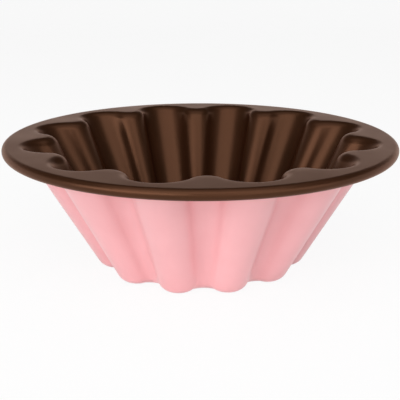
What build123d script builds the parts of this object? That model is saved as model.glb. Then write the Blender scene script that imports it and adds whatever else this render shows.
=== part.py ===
# A round, deep, fluted brioche mould, in millimetres, Z up.
# The origin is the middle of the face that it rests on, and one rib points along -Y.
# The mould is one pressed steel sheet, with a brown non-stick coat on its inner and upper face
# and a pink lacquer on its outer face. Both coats were baked on before the sheet was pressed,
# so all three layers follow one shape: floor, floor blend, fluted wall, shoulder, flat flange
# and rolled edge. That shape is worked out once, on the brown face, and each layer lies between
# two depths below it.
from build123d import *
from math import acos, asin, atan2, cos, degrees, pi, sin, tan
import os

# The fluted cup, measured on the brown face
height = 73.5
flute_count = 12
top_lobe_radius = 99.2
top_rib_depth = 16.2
top_rib_bend_radius = 10.5
base_lobe_radius = 58.2
base_rib_depth = 7.7
base_rib_bend_radius = 6.2
floor_blend_radius = 7.5
rib_shoulder_radius = 7.0
lobe_shoulder_radius = 4.5

# The sheet and its two coats
steel_thickness = 0.5
lining_thickness = 0.2
lacquer_thickness = 0.2

# The flange, its rolled edge and the wire inside the roll
flange_width = 10.8
curl_radius = 2.8
curl_end_gap = 0.25
wire_clearance = 0.15

# How finely the curved faces are stepped
steps_per_arc = 3
steps_per_blend = 4

# Depths below the brown face at which one layer ends and the next begins
steel_inner_depth = lining_thickness
steel_outer_depth = steel_inner_depth + steel_thickness
sheet_thickness = steel_outer_depth + lacquer_thickness

rim_radius = top_lobe_radius + flange_width
roll_centre_radius = rim_radius - curl_radius
roll_centre_height = height - curl_radius
steps_to_lobe = 2 * steps_per_arc
steps_per_flute = 2 * steps_to_lobe


def arc_points(centre, radius, start, end):
    """Points on a level arc round centre, from one angle to another, both ends included."""
    angles = [start + (end - start) * step / steps_per_arc for step in range(steps_per_arc + 1)]
    return [centre + Vector(radius * cos(angle), radius * sin(angle)) for angle in angles]


def half_flute(lobe_radius, rib_depth, rib_bend_radius):
    """Points from the middle of a rib, at angle zero, to the middle of the lobe beside it.

    The rib is an arc that bends towards the mould's axis and the lobe is an arc that bends away
    from it. The two meet in a common tangent, which sets the lobe's own bend radius.
    """
    half_pitch = pi / flute_count
    rib_centre_radius = lobe_radius - rib_depth + rib_bend_radius
    reach = rib_centre_radius * cos(half_pitch)
    squares = lobe_radius**2 + rib_centre_radius**2 - rib_bend_radius**2 - 2 * lobe_radius * reach
    lobe_bend_radius = squares / (2 * (lobe_radius + rib_bend_radius - reach))
    lobe_centre_radius = lobe_radius - lobe_bend_radius
    rib_centre = Vector(rib_centre_radius, 0)
    lobe_centre = Vector(lobe_centre_radius * cos(half_pitch), lobe_centre_radius * sin(half_pitch))
    across = lobe_centre - rib_centre
    meeting_angle = atan2(across.Y, across.X)
    rib_arc = arc_points(rib_centre, rib_bend_radius, pi, meeting_angle)
    lobe_arc = arc_points(lobe_centre, lobe_bend_radius, meeting_angle - pi, half_pitch)
    return rib_arc + lobe_arc[1:]


def fluted_outline(lobe_radius, rib_depth, rib_bend_radius, level):
    """The closed fluted outline at one level, as points, with the rib at -Y first."""
    half = [(p.length, atan2(p.Y, p.X)) for p in half_flute(lobe_radius, rib_depth, rib_bend_radius)]
    pitch = 2 * pi / flute_count
    flute = half[:-1] + [(radius, pitch - angle) for radius, angle in reversed(half[1:])]
    outline = []
    for turn in range(flute_count):
        start = turn * pitch - pi / 2
        outline += [Vector(r * cos(start + a), r * sin(start + a), level) for r, a in flute]
    return outline


def along(points, i):
    """The direction in which a closed ring of points runs past its point i."""
    return (points[(i + 1) % len(points)] - points[i - 1]).normalized()


def rounded_corner(corner, back, ahead, radius):
    """Points on the arc that rounds a corner between two unit rays, each with its direction."""
    turn = pi - acos(back.dot(ahead))
    centre = corner + (back + ahead).normalized() * (radius / cos(turn / 2))
    spoke = (corner + back * (radius * tan(turn / 2)) - centre).normalized()
    angles = [turn * step / steps_per_blend for step in range(steps_per_blend + 1)]
    points = [centre + spoke * (radius * cos(a)) - back * (radius * sin(a)) for a in angles]
    directions = [-back * cos(a) - spoke * sin(a) for a in angles]
    return list(zip(points, directions))


def shoulder_radius(i):
    """The shoulder's radius at station i: widest over a rib's middle, tightest over a lobe's."""
    lobe_share = 1 - abs((i % steps_per_flute) / steps_to_lobe - 1)
    ease_share = (1 - cos(pi * lobe_share)) / 2
    return rib_shoulder_radius + (lobe_shoulder_radius - rib_shoulder_radius) * ease_share


def brown_face_rings():
    """Closed rings of (point, direction) on the brown face, from the floor out to the flange.

    Each direction runs outwards along the sheet, across its ring. The first half of the rings
    round the floor into the wall, and the others round the wall into the flange.
    """
    low = fluted_outline(base_lobe_radius, base_rib_depth, base_rib_bend_radius, sheet_thickness)
    high = fluted_outline(top_lobe_radius, top_rib_depth, top_rib_bend_radius, height)
    columns = []
    for i, (foot, head) in enumerate(zip(low, high)):
        up = (head - foot).normalized()
        floor_outwards = along(low, i).cross(Vector(0, 0, 1))
        flange_outwards = along(high, i).cross(Vector(0, 0, 1))
        floor_blend = rounded_corner(foot, -floor_outwards, up, floor_blend_radius)
        shoulder = rounded_corner(head, -up, flange_outwards, shoulder_radius(i))
        columns.append(floor_blend + shoulder)
    return [list(ring) for ring in zip(*columns)]


rings = brown_face_rings()
shoulder_start = steps_per_blend + 1

# All the curves share the flange edge's spacing, so a face between two of them isn't skewed
flange_edge_points = [point for point, direction in rings[-1]]
distances = [0]
for here, there in zip(flange_edge_points, flange_edge_points[1:]):
    distances.append(distances[-1] + (there - here).length)


def half_flute_edges(ring, depth):
    """One flute's two curves, a depth below a ring: rib to lobe, then lobe to the next rib."""
    brown_points = [point for point, direction in ring]
    points = [
        point + along(brown_points, i).cross(direction).normalized() * depth
        for i, (point, direction) in enumerate(ring)
    ]

    def pace(i):
        return (points[i + 1] - points[i - 1]) / (2 * (distances[i + 1] - distances[i]))

    edges = []
    for first, last in ((0, steps_to_lobe), (steps_to_lobe, steps_per_flute)):
        spline = Edge.make_spline(
            points[first : last + 1],
            tangents=[pace(first), pace(last)],
            parameters=distances[first : last + 1],
            scale=False,
        )
        edges.append(spline)
    return edges


def around(shape):
    """Copies of one flute's shape, one for each flute."""
    return [shape.rotate(Axis.Z, 360 * turn / flute_count) for turn in range(flute_count)]


def smooth_face(edges):
    """One smooth face through several curves that lie side by side."""
    return Shell.make_loft([Wire(edge) for edge in edges]).faces()[0]


def roll_section(depth):
    """The rolled edge's arc at one depth: over the top, down outside and back up inside."""
    section_plane = Plane(
        origin=(roll_centre_radius, 0, roll_centre_height), x_dir=(1, 0, 0), z_dir=(0, -1, 0)
    )
    end_rise = asin((curl_radius - sheet_thickness - curl_end_gap) / curl_radius)
    return Edge.make_circle(
        curl_radius - depth, section_plane, start_angle=-180 - degrees(end_rise), end_angle=90
    )


def sheet_faces(depth):
    """All the faces that lie one depth below the brown face, from the floor to the cut edge."""
    faces = []
    floor_outline = []
    flange_outline = []
    for edges in zip(*[half_flute_edges(ring, depth) for ring in rings]):
        faces += around(smooth_face(edges[:shoulder_start]))
        faces += around(Face.make_surface_from_curves(edges[shoulder_start - 1], edges[shoulder_start]))
        faces += around(smooth_face(edges[shoulder_start:]))
        floor_outline += around(edges[0])
        flange_outline += around(edges[-1])
    roll_start = Edge.make_circle(roll_centre_radius, Plane(origin=(0, 0, height - depth)))
    floor = Face(Wire(floor_outline))
    flange = Face(Wire(roll_start), [Wire(flange_outline)])
    roll = Face.revolve(roll_section(depth), 360, Axis.Z)
    return faces + [floor, flange, roll]


def layer(upper_depth, lower_depth):
    """The solid between two depths, closed at the sheet's cut edge inside the roll."""
    cut = Edge.make_line(roll_section(upper_depth) @ 0, roll_section(lower_depth) @ 0)
    cut_edge = Face.revolve(cut, 360, Axis.Z)
    return Solid(Shell(sheet_faces(upper_depth) + sheet_faces(lower_depth) + [cut_edge]))


def rim_wire():
    """The round wire that the sheet's edge is rolled over."""
    wire_radius = curl_radius - sheet_thickness - wire_clearance
    return Solid.make_torus(roll_centre_radius, wire_radius, Plane(origin=(0, 0, roll_centre_height)))


nodes = {
    "nonstick_lining": layer(0, steel_inner_depth),
    "pressed_steel_shell": layer(steel_inner_depth, steel_outer_depth),
    "outer_lacquer": layer(steel_outer_depth, sheet_thickness),
    "rim_wire": rim_wire(),
}

os.makedirs("parts", exist_ok=True)
for name, solid in nodes.items():
    export_step(solid, f"parts/{name}.step")
    print(name, "volume", round(solid.volume), "valid", solid.is_valid)
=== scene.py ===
# %% [markdown]
# A brioche mould is one disc of sheet steel. It is coated on both sides, pressed into a fluted cup, and
# its edge is rolled over a wire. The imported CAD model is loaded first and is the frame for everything
# here: it holds the steel, the two coats and the wire at their real size, in metres, with Z up, the
# origin under the middle of the floor and one rib pointing along -Y. Blender then gives each surface
# its final mesh and its finish, and never moves the steel.

# %% Load the frame
from math import asin, atan2, cos, degrees, pi, radians, sin, tan

import bmesh
import bpy
from mathutils import Matrix, Vector


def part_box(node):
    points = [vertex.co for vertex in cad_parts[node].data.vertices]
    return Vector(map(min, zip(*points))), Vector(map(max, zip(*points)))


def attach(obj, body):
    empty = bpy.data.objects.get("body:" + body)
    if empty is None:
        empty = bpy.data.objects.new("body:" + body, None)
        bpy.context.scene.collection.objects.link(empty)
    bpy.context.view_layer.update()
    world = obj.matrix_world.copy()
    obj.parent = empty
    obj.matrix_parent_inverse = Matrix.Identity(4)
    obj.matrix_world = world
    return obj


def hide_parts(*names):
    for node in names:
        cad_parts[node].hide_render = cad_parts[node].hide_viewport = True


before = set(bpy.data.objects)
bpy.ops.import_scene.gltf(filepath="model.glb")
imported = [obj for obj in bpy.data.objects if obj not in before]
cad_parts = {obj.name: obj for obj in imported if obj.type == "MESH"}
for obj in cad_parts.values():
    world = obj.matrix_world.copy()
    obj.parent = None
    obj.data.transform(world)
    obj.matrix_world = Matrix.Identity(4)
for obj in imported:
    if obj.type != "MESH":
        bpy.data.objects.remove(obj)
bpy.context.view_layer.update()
scene = bpy.context.scene
MM = 0.001

for name in sorted(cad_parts):
    low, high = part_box(name)
    print(name, "spans", [round(size / MM, 1) for size in high - low], "mm")

# %% [markdown]
# The camera comes first, because every later choice is judged through it. The photograph is taken from
# a little above the rim, close enough that the near edge looks wider than the far one. A long lens from
# far away would flatten that, so the distance matters as much as the tilt. The rib at the front isn't
# quite in the middle of the picture, so the camera also stands a little to one side.

# %% Camera at the photograph's angle
camera_distance = 400 * MM
camera_tilt = radians(17.5)
camera_side = radians(-1.8)
camera_aim = Vector((-0.2, -11.2, 38.1)) * MM
camera_lens_mm = 63

sideways = Matrix.Rotation(camera_side, 3, "Z")
looking = sideways @ Vector((0, cos(camera_tilt), -sin(camera_tilt)))
camera_data = bpy.data.cameras.new("camera")
camera_data.lens = camera_lens_mm
camera = bpy.data.objects.new("camera", camera_data)
camera.location = sideways @ camera_aim - looking * camera_distance
camera.rotation_mode = "QUATERNION"
camera.rotation_quaternion = looking.to_track_quat("-Z", "Y")
scene.collection.objects.link(camera)
scene.camera = camera
scene.view_settings.view_transform = "Standard"
print("camera at", [round(x / MM) for x in camera.location], "mm")

# %% [markdown]
# Colours are noted as the hex values a painter would pick on a screen, which are sRGB. Blender's nodes
# work in linear light, so one function does the conversion for every colour in the file. One more
# function adds a node: its settings are keywords, and each input takes either a value or the output of
# an earlier node, which is then linked.

# %% Helpers for colours and nodes
def linear(hex_colour):
    """The linear RGBA of an sRGB hex colour."""
    channels = [int(hex_colour[i : i + 2], 16) / 255 for i in (1, 3, 5)]
    return [c / 12.92 if c <= 0.04045 else ((c + 0.055) / 1.055) ** 2.4 for c in channels] + [1]


def add_node(tree, kind, inputs=None, **settings):
    """A new node with its settings, and with its inputs set to a value or linked to an output."""
    node = tree.nodes.new(kind)
    for name, value in settings.items():
        setattr(node, name, value)
    for name, value in (inputs or {}).items():
        if isinstance(value, bpy.types.NodeSocket):
            tree.links.new(value, node.inputs[name])
        else:
            node.inputs[name].default_value = value
    return node


def new_material(name):
    """An empty node material and its tree."""
    material = bpy.data.materials.new(name)
    material.use_nodes = True
    material.node_tree.nodes.clear()
    return material, material.node_tree


print("#808080 is", round(linear("#808080")[0], 3), "in linear light")

# %% [markdown]
# A product picture like this one is taken on a white cove: the floor curves up into a low wall, so no
# horizon shows. This one is round, so that it looks the same from every side. A radius is drawn along
# the floor, its end is spun through a quarter circle and raised to the top of the wall, and the whole
# line is spun about the mould's axis. The wall's height matters too. The flange lies flat and mirrors
# what stands low behind it, so a wall that ends a few degrees higher makes the flange a shade lighter.
# The cove isn't part of the mould.

# %% White cove
cove_radius = 2.4
cove_bend_radius = 0.3
cove_top = 0.84
bend_steps = 12
cove_steps = 96
merge_distance = 0.01 * MM


def only_verts(geom):
    """The vertices among some bmesh geometry."""
    return [g for g in geom if isinstance(g, bmesh.types.BMVert)]


cove_mesh = bpy.data.meshes.new("white_cove")
bm = bmesh.new()
middle = bm.verts.new((0, 0, 0))
bend_start = bm.verts.new((cove_radius - cove_bend_radius, 0, 0))
bm.edges.new((middle, bend_start))
bend_centre = (cove_radius - cove_bend_radius, 0, cove_bend_radius)
bend = bmesh.ops.spin(
    bm, geom=[bend_start], cent=bend_centre, axis=(0, -1, 0), angle=pi / 2, steps=bend_steps
)
raised = bmesh.ops.extrude_vert_indiv(bm, verts=only_verts(bend["geom_last"]))
bmesh.ops.translate(bm, verts=raised["verts"], vec=(0, 0, cove_top - cove_bend_radius))
bmesh.ops.spin(
    bm,
    geom=bm.verts[:] + bm.edges[:],
    cent=(0, 0, 0),
    axis=(0, 0, 1),
    angle=2 * pi,
    steps=cove_steps,
    use_merge=True,
)
bmesh.ops.remove_doubles(bm, verts=bm.verts, dist=merge_distance)
bmesh.ops.recalc_face_normals(bm, faces=bm.faces)
for face in bm.faces:
    face.smooth = True
bm.to_mesh(cove_mesh)
bm.free()
cove = bpy.data.objects.new("white_cove", cove_mesh)
scene.collection.objects.link(cove)
print("cove faces", len(cove_mesh.polygons), "size", [round(x, 2) for x in cove.dimensions], "m")

# %% [markdown]
# White paint is a plain diffuse surface. Lit only by the lamps it would come out grey wherever they
# don't reach, and more light would burn out the mould. So most of it glows with a strength of one for
# the camera, and for reflections too, so that the coats mirror the same white. The rest of it is lit
# as usual, which keeps the soft shadow under the mould.

# %% White paint
glow_share = 0.92

paint, tree = new_material("white_matte_paint")
path = add_node(tree, "ShaderNodeLightPath")
seen = add_node(
    tree,
    "ShaderNodeMath",
    {0: path.outputs["Is Camera Ray"], 1: path.outputs["Is Glossy Ray"]},
    operation="MAXIMUM",
)
seen = add_node(
    tree,
    "ShaderNodeMath",
    {0: seen.outputs[0], 1: path.outputs["Is Transmission Ray"]},
    operation="MAXIMUM",
)
share = add_node(tree, "ShaderNodeMath", {0: seen.outputs[0], 1: glow_share}, operation="MULTIPLY")
lit = add_node(tree, "ShaderNodeBsdfDiffuse", {"Color": linear("#F4F4F4")})
glow = add_node(tree, "ShaderNodeEmission", {"Color": linear("#FFFFFF"), "Strength": 1})
mixed = add_node(
    tree, "ShaderNodeMixShader", {0: share.outputs[0], 1: lit.outputs[0], 2: glow.outputs[0]}
)
add_node(tree, "ShaderNodeOutputMaterial", {"Surface": mixed.outputs[0]})
cove_mesh.materials.append(paint)
print("paint nodes", len(tree.nodes))

# %% [markdown]
# Satin coats show their shape by what they mirror. One wide softbox hangs in front, between a third and
# two thirds of the way up to overhead, and the room at both sides and behind is dim. Each rib and lobe
# of the far wall then carries one soft light band with dark flanks, as in the photograph. A weaker one
# overhead keeps the dark line on the shoulder and the bead thin. The outside leans over the floor and
# sees little of either, so two low ones light it, the left one more strongly than the right one, and
# the white floor fills in from below.

# %% World and softboxes
room_strength = 0.06
mould_middle = Vector((0, 0, 40)) * MM

world = bpy.data.worlds.new("studio")
world.use_nodes = True
scene.world = world
tree = world.node_tree
tree.nodes.clear()
room = add_node(tree, "ShaderNodeBackground", {"Color": linear("#FFFFFF"), "Strength": room_strength})
add_node(tree, "ShaderNodeOutputWorld", {"Surface": room.outputs[0]})


def softbox(name, place, width, height, watts):
    """An area lamp of a real size in metres, at a place, turned towards the mould's middle."""
    data = bpy.data.lights.new(name, "AREA")
    data.shape = "RECTANGLE"
    data.size = width
    data.size_y = height
    data.energy = watts
    lamp = bpy.data.objects.new(name, data)
    lamp.location = place
    lamp.rotation_mode = "QUATERNION"
    lamp.rotation_quaternion = (mould_middle - lamp.location).to_track_quat("-Z", "Y")
    scene.collection.objects.link(lamp)
    elevation = degrees(asin((lamp.location - mould_middle).normalized().z))
    print(name, watts, "W,", round(elevation), "degrees up")


softbox("key_softbox", place=(-0.05, -0.85, 0.93), width=2.0, height=0.75, watts=10)
softbox("overhead_softbox", place=(0, -0.15, 1.25), width=1.6, height=0.9, watts=3.5)
softbox("left_low_softbox", place=(-0.75, -0.95, 0.36), width=1.4, height=0.6, watts=9)
softbox("right_low_softbox", place=(0.75, -0.95, 0.36), width=1.4, height=0.6, watts=3.5)

# %% [markdown]
# The mould's own sizes are named here once. Its overall reach comes from the frame, and the flutes are
# given as the press tool would be drawn: at the top and at the floor, how far out a lobe reaches, how
# far a rib comes in from there, and how tightly the rib's nose is bent. All of them are measured on the
# brown face, from which the steel and the pink lacquer lie a fixed depth down.

# %% Sizes of the pressed sheet
flute_count = 12
top_lobe_radius = 99.2 * MM
top_rib_depth = 16.2 * MM
top_rib_bend_radius = 10.5 * MM
base_lobe_radius = 58.2 * MM
base_rib_depth = 7.7 * MM
base_rib_bend_radius = 6.2 * MM
floor_blend_radius = 7.5 * MM
rib_shoulder_radius = 7.0 * MM
lobe_shoulder_radius = 4.5 * MM
curl_radius = 2.8 * MM
curl_end_gap = 0.25 * MM
lining_thickness = 0.2 * MM
steel_thickness = 0.5 * MM
lacquer_thickness = 0.2 * MM

lining_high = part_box("nonstick_lining")[1]
rim_radius = lining_high.x
height = lining_high.z
lacquer_depth = lining_thickness + steel_thickness
sheet_thickness = lacquer_depth + lacquer_thickness
roll_centre_radius = rim_radius - curl_radius
print("rim radius", round(rim_radius / MM, 2), "height", round(height / MM, 2), "mm")

# %% [markdown]
# Seen from above, one flute is a rib that bends inwards and a lobe that bends outwards, two arcs that
# meet in a common tangent. Half a flute is enough, because the rest is its mirror image. A single
# vertex at the rib's nose is spun about the centre of the rib's bend, and where that arc ends, the
# last vertex is spun on about the centre of the lobe's bend. Spinning gives true arcs, and no list of
# points has to be worked out.

# %% Half a flute from two spun arcs
arc_steps = 11


def half_flute(bm, lobe_radius, rib_depth, rib_bend_radius, level):
    """Spins a rib's half arc and then a lobe's half arc, from the rib's nose on the X axis."""
    half_pitch = pi / flute_count
    rib_centre_radius = lobe_radius - rib_depth + rib_bend_radius
    reach = rib_centre_radius * cos(half_pitch)
    squares = lobe_radius**2 + rib_centre_radius**2 - rib_bend_radius**2 - 2 * lobe_radius * reach
    lobe_bend_radius = squares / (2 * (lobe_radius + rib_bend_radius - reach))
    lobe_direction = Vector((cos(half_pitch), sin(half_pitch), 0))
    rib_centre = Vector((rib_centre_radius, 0, level))
    lobe_centre = lobe_direction * (lobe_radius - lobe_bend_radius) + Vector((0, 0, level))
    between = lobe_centre - rib_centre
    meeting_angle = atan2(between.y, between.x)
    nose = bm.verts.new((lobe_radius - rib_depth, 0, level))
    up = (0, 0, 1)
    rib_arc = bmesh.ops.spin(
        bm, geom=[nose], cent=rib_centre, axis=up, angle=meeting_angle - pi, steps=arc_steps
    )
    bmesh.ops.spin(
        bm,
        geom=only_verts(rib_arc["geom_last"]),
        cent=lobe_centre,
        axis=up,
        angle=half_pitch - (meeting_angle - pi),
        steps=arc_steps,
    )
    return lobe_bend_radius


# %% [markdown]
# The half is mirrored in the rib's middle plane, turned so that the rib points along -Y, and copied
# round the axis by a spin that duplicates instead of extruding. Merging the doubled end vertices turns
# the copies into one closed line. Its vertices are then numbered by how far round the axis they lie, so
# that the foot line and the head line can be paired vertex by vertex. The count starts a hair before
# the front rib, because rounding could put the vertex on the rib itself first or last.

# %% A closed fluted outline
seam_margin = radians(0.05)


def turn_from_front_rib(v):
    """How far round the axis a vertex lies, from a hair before the rib at -Y."""
    return (atan2(v.co.y, v.co.x) + pi / 2 + seam_margin) % (2 * pi)


def fluted_outline(*sizes):
    """The closed fluted line at one level, as a bmesh and as its vertices in order."""
    bm = bmesh.new()
    lobe_bend_radius = half_flute(bm, *sizes)
    bmesh.ops.mirror(
        bm, geom=bm.verts[:] + bm.edges[:], matrix=Matrix.Identity(4), axis="Y", merge_dist=merge_distance
    )
    bmesh.ops.rotate(bm, verts=bm.verts, cent=(0, 0, 0), matrix=Matrix.Rotation(-pi / 2, 3, "Z"))
    bmesh.ops.spin(
        bm,
        geom=bm.verts[:] + bm.edges[:],
        cent=(0, 0, 0),
        axis=(0, 0, 1),
        angle=2 * pi * (flute_count - 1) / flute_count,
        steps=flute_count - 1,
        use_duplicate=True,
    )
    bmesh.ops.remove_doubles(bm, verts=bm.verts, dist=merge_distance)
    column = bm.verts.layers.int.new("column")
    line = sorted(bm.verts, key=turn_from_front_rib)
    for i, v in enumerate(line):
        v[column] = i
    print("lobe bend radius", round(lobe_bend_radius / MM, 1), "mm,", len(line), "vertices")
    return bm, line


# %% [markdown]
# Each foot vertex and its partner on the head line give one column of the sheet: straight up the wall,
# with an arc at either end that rounds it into the level floor and the level flange. A corner that
# turns by an angle and is rounded to a radius is cut back by the radius times the tangent of half the
# angle. The shoulder is wide over the ribs, which droop softly, and tight over the lobes. Wall and
# flange get rows of their own. Smooth shading blends the normals over a whole face, so a tall or wide
# face next to a tight bend would show a false gradient.

# %% Columns from the floor to the flange
blend_segments = 8
wall_rows = 18
flat_rows = 4
holding_width = 0.5 * MM

sheet, foot = fluted_outline(base_lobe_radius, base_rib_depth, base_rib_bend_radius, sheet_thickness)
head_line, head = fluted_outline(top_lobe_radius, top_rib_depth, top_rib_bend_radius, height)


def outwards(line, i):
    """The level direction away from the cup, square to a fluted line at its vertex i."""
    along = line[(i + 1) % len(line)].co - line[i - 1].co
    return along.cross(Vector((0, 0, 1))).normalized()


def rounding_arc(corner, back, ahead, radius):
    """Points on the arc that rounds the corner between two unit rays, from back to ahead."""
    turn = pi - back.angle(ahead)
    centre = corner + (back + ahead).normalized() * (radius / cos(turn / 2))
    spoke = corner + back * (radius * tan(turn / 2)) - centre
    angles = [turn * step / blend_segments for step in range(blend_segments + 1)]
    return [centre + spoke * cos(angle) - back * (radius * sin(angle)) for angle in angles]


def shoulder_radius(i):
    """Widest over the middle of a rib and tightest over the middle of a lobe."""
    steps_to_lobe = 2 * arc_steps
    lobe_share = 1 - abs(i % (2 * steps_to_lobe) / steps_to_lobe - 1)
    ease_share = (1 - cos(pi * lobe_share)) / 2
    return rib_shoulder_radius + (lobe_shoulder_radius - rib_shoulder_radius) * ease_share


columns = []
for i, (low, high) in enumerate(zip(foot, head)):
    up = (high.co - low.co).normalized()
    floor_blend = rounding_arc(low.co, -outwards(foot, i), up, floor_blend_radius)
    shoulder = rounding_arc(high.co, -up, outwards(head, i), shoulder_radius(i))
    wall = [floor_blend[-1].lerp(shoulder[0], row / wall_rows) for row in range(1, wall_rows)]
    edge = shoulder[-1].copy()
    edge.xy = edge.xy.normalized() * (roll_centre_radius - holding_width)
    flange = [shoulder[-1].lerp(edge, row / flat_rows) for row in range(1, flat_rows + 1)]
    columns.append(floor_blend + wall + shoulder + flange)
head_line.free()
print(len(columns), "columns of", len(columns[0]), "points")

# %% [markdown]
# The sheet is now swept outwards from the floor, ring by ring. The foot line becomes the first ring.
# Inwards it is extruded and scaled a few times, and filled, to make the floor. Outwards each extruded
# ring moves on to the next points of its columns. Extruding copies a vertex together with its number,
# so every vertex knows its column.

# %% Floor, wall and flange
floor_row_share = 0.94

column = sheet.verts.layers.int["column"]
for v in sheet.verts:
    v.co = columns[v[column]][0]
ring = sheet.edges[:]
for row in range(flat_rows):
    made = bmesh.ops.extrude_edge_only(sheet, edges=ring)["geom"]
    bmesh.ops.scale(sheet, verts=only_verts(made), vec=(floor_row_share, floor_row_share, 1))
    ring = [e for e in made if isinstance(e, bmesh.types.BMEdge)]
bmesh.ops.contextual_create(sheet, geom=ring)

rim_edges = [e for e in sheet.edges if e.is_boundary]
for row in range(1, len(columns[0])):
    made = bmesh.ops.extrude_edge_only(sheet, edges=rim_edges)["geom"]
    for v in only_verts(made):
        v.co = columns[v[column]][row]
    rim_edges = [e for e in sheet.edges if e.is_boundary]
print("sheet faces", len(sheet.faces), "rim edges", len(rim_edges))

# %% [markdown]
# The rolled edge is the flange's outer circle, carried on round a wire. Each step extrudes the open
# edge, scales the new ring and shifts it up or down, so that it follows a circle round the wire: over
# the top, down the outside and back up inside, until the cut edge nearly meets the flange from below.
# Step zero lies flat, as the holding row of the flange's outer edge.

# %% Rolled edge
roll_steps = 26

end_rise = curl_radius - sheet_thickness - curl_end_gap
roll_turn = 3 * pi / 2 + asin(end_rise / curl_radius)
ring_radius = roll_centre_radius - holding_width
ring_level = height
for step in range(roll_steps + 1):
    angle = roll_turn * step / roll_steps
    next_radius = roll_centre_radius + curl_radius * sin(angle)
    next_level = height - curl_radius * (1 - cos(angle))
    ring = only_verts(bmesh.ops.extrude_edge_only(sheet, edges=rim_edges)["geom"])
    grow = next_radius / ring_radius
    bmesh.ops.scale(sheet, verts=ring, vec=(grow, grow, 1))
    bmesh.ops.translate(sheet, verts=ring, vec=(0, 0, next_level - ring_level))
    rim_edges = [e for e in sheet.edges if e.is_boundary]
    ring_radius = next_radius
    ring_level = next_level

bmesh.ops.recalc_face_normals(sheet, faces=sheet.faces)
if max(sheet.faces, key=lambda face: len(face.verts)).normal.z < 0:
    bmesh.ops.reverse_faces(sheet, faces=sheet.faces)
for face in sheet.faces:
    face.smooth = True
brown_face = bpy.data.meshes.new("brown_face")
sheet.to_mesh(brown_face)
sheet.free()
print("roll turns", round(degrees(roll_turn)), "degrees,", len(brown_face.polygons), "faces in all")

# %% [markdown]
# The non-stick coat inside is a fluoropolymer, sprayed on the flat sheet and baked at high heat. To the
# eye it is a deep brown with a satin sheen: a soft, wide highlight with a very slight orange peel where
# the spray levelled out. The binder has an IOR of about 1.5 and a roughness near 0.3. Fine bronze
# flakes in it are drawn as a metallic share, and the specular tint makes what the flange mirrors as
# warm as the photograph shows it. The peel is about a millimetre wide and drawn a little coarser, so
# that it shows at the picture's scale.

# %% Brown non-stick coat
peel_spacing = 1.6 * MM
cloud_spacing = 22 * MM
peel_height = 0.006 * MM

brown, tree = new_material("brown_nonstick_fluoropolymer")
place = add_node(tree, "ShaderNodeTexCoord").outputs["Object"]
peel = add_node(
    tree, "ShaderNodeTexNoise", {"Vector": place, "Scale": 1 / peel_spacing, "Detail": 2, "Roughness": 0.5}
)
cloud = add_node(tree, "ShaderNodeTexNoise", {"Vector": place, "Scale": 1 / cloud_spacing, "Detail": 3})
tone = add_node(tree, "ShaderNodeValToRGB", {"Fac": cloud.outputs["Fac"]})
tone.color_ramp.elements[0].position = 0.3
tone.color_ramp.elements[0].color = linear("#3D2415")
tone.color_ramp.elements[1].position = 0.7
tone.color_ramp.elements[1].color = linear("#412617")
sheen = add_node(
    tree,
    "ShaderNodeMapRange",
    {"Value": cloud.outputs["Fac"], "From Min": 0.3, "From Max": 0.7, "To Min": 0.3, "To Max": 0.35},
)
bump = add_node(
    tree, "ShaderNodeBump", {"Height": peel.outputs["Fac"], "Distance": peel_height, "Strength": 0.6}
)
surface = add_node(
    tree,
    "ShaderNodeBsdfPrincipled",
    {
        "Base Color": tone.outputs["Color"],
        "Metallic": 0.5,
        "Roughness": sheen.outputs["Result"],
        "IOR": 1.5,
        "Specular Tint": linear("#FFC7A8"),
        "Normal": bump.outputs["Normal"],
    },
)
add_node(tree, "ShaderNodeOutputMaterial", {"Surface": surface.outputs["BSDF"]})
print("brown coat nodes", len(tree.nodes))

# %% [markdown]
# The outside is a pink silicone-polyester lacquer, coil-coated and baked. It is paler than the inside
# and about as glossy, with an even, milky colour and hardly any peel. An IOR of 1.5 is typical of such
# a resin, and the roughness is matched to the soft light edges on the lobes.

# %% Pink lacquer
lacquer_peel_spacing = 1.2 * MM
lacquer_peel_height = 0.003 * MM

pink, tree = new_material("pink_baked_lacquer")
place = add_node(tree, "ShaderNodeTexCoord").outputs["Object"]
peel = add_node(
    tree, "ShaderNodeTexNoise", {"Vector": place, "Scale": 1 / lacquer_peel_spacing, "Detail": 2}
)
cloud = add_node(tree, "ShaderNodeTexNoise", {"Vector": place, "Scale": 1 / cloud_spacing, "Detail": 3})
tone = add_node(tree, "ShaderNodeValToRGB", {"Fac": cloud.outputs["Fac"]})
tone.color_ramp.elements[0].position = 0.3
tone.color_ramp.elements[0].color = linear("#EAACAF")
tone.color_ramp.elements[1].position = 0.7
tone.color_ramp.elements[1].color = linear("#EEB2B5")
bump = add_node(
    tree,
    "ShaderNodeBump",
    {"Height": peel.outputs["Fac"], "Distance": lacquer_peel_height, "Strength": 0.5},
)
surface = add_node(
    tree,
    "ShaderNodeBsdfPrincipled",
    {"Base Color": tone.outputs["Color"], "Roughness": 0.34, "IOR": 1.5, "Normal": bump.outputs["Normal"]},
)
add_node(tree, "ShaderNodeOutputMaterial", {"Surface": surface.outputs["BSDF"]})
print("pink lacquer nodes", len(tree.nodes))

# %% [markdown]
# Between the coats is cold-rolled mild steel, which shows only at the cut edge inside the roll, and the
# wire there is drawn from the same steel. Rolling and drawing both leave fine parallel lines, so the
# bare metal is grey, fairly bright and stretched in its highlights. A noise squeezed along one axis
# gives the lines. Steel is a metal, so its IOR stays at the default.

# %% Bare steel
line_spacing = 0.35 * MM
line_length = 14 * MM

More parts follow.
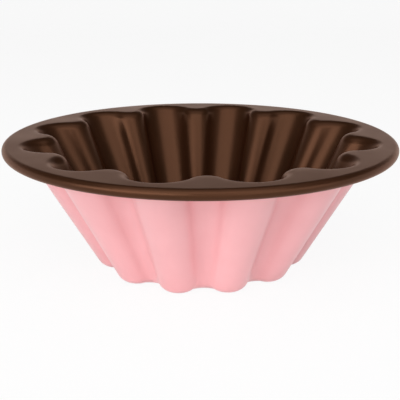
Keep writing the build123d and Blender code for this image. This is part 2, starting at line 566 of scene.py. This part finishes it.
steel, tree = new_material("cold_rolled_steel")
place = add_node(tree, "ShaderNodeTexCoord").outputs["Object"]
stretch = add_node(
    tree,
    "ShaderNodeMapping",
    {"Vector": place, "Scale": (1 / line_length, 1 / line_spacing, 1 / line_spacing)},
)
lines = add_node(tree, "ShaderNodeTexNoise", {"Vector": stretch.outputs["Vector"], "Scale": 1, "Detail": 3})
tone = add_node(tree, "ShaderNodeValToRGB", {"Fac": lines.outputs["Fac"]})
tone.color_ramp.elements[0].position = 0.35
tone.color_ramp.elements[0].color = linear("#A3A19E")
tone.color_ramp.elements[1].position = 0.65
tone.color_ramp.elements[1].color = linear("#BAB8B4")
sheen = add_node(
    tree,
    "ShaderNodeMapRange",
    {"Value": lines.outputs["Fac"], "From Min": 0.35, "From Max": 0.65, "To Min": 0.28, "To Max": 0.4},
)
surface = add_node(
    tree,
    "ShaderNodeBsdfPrincipled",
    {
        "Base Color": tone.outputs["Color"],
        "Metallic": 1,
        "Roughness": sheen.outputs["Result"],
        "Anisotropic": 0.4,
    },
)
add_node(tree, "ShaderNodeOutputMaterial", {"Surface": surface.outputs["BSDF"]})
for name in ("pressed_steel_shell", "rim_wire"):
    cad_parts[name].data.materials.clear()
    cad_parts[name].data.materials.append(steel)
    print(name, "is bare steel")

# %% [markdown]
# Both coats are copies of the one brown face. A Displace modifier without a texture moves a copy down
# along its normals to the depth where its layer starts, and Solidify gives it its thickness from there
# down, so the brown coat, the steel and the pink lacquer lie on each other all the way from the floor
# to the cut edge. Each coat replaces its plain CAD layer and rides on the mould's one body.

# %% Coats as closed layers
def coat(name, depth, thickness, material, cad_node):
    """A closed layer of the sheet, from a depth below the brown face down by its thickness."""
    piece = bpy.data.objects.new(name, brown_face.copy())
    piece.data.name = name
    piece.data.materials.append(material)
    scene.collection.objects.link(piece)
    if depth:
        lower = piece.modifiers.new("depth", "DISPLACE")
        lower.mid_level = 0
        lower.strength = -depth
    layer = piece.modifiers.new("thickness", "SOLIDIFY")
    layer.thickness = thickness
    layer.offset = -1
    layer.use_even_offset = True
    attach(piece, "root")
    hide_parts(cad_node)
    finished = piece.evaluated_get(bpy.context.evaluated_depsgraph_get())
    triangles = sum(len(face.vertices) - 2 for face in finished.data.polygons)
    print(name, triangles, "triangles")
    return piece


coat("brown_nonstick_coat", 0, lining_thickness, brown, "nonstick_lining")
coat("pink_lacquer_coat", lacquer_depth, lacquer_thickness, pink, "outer_lacquer")
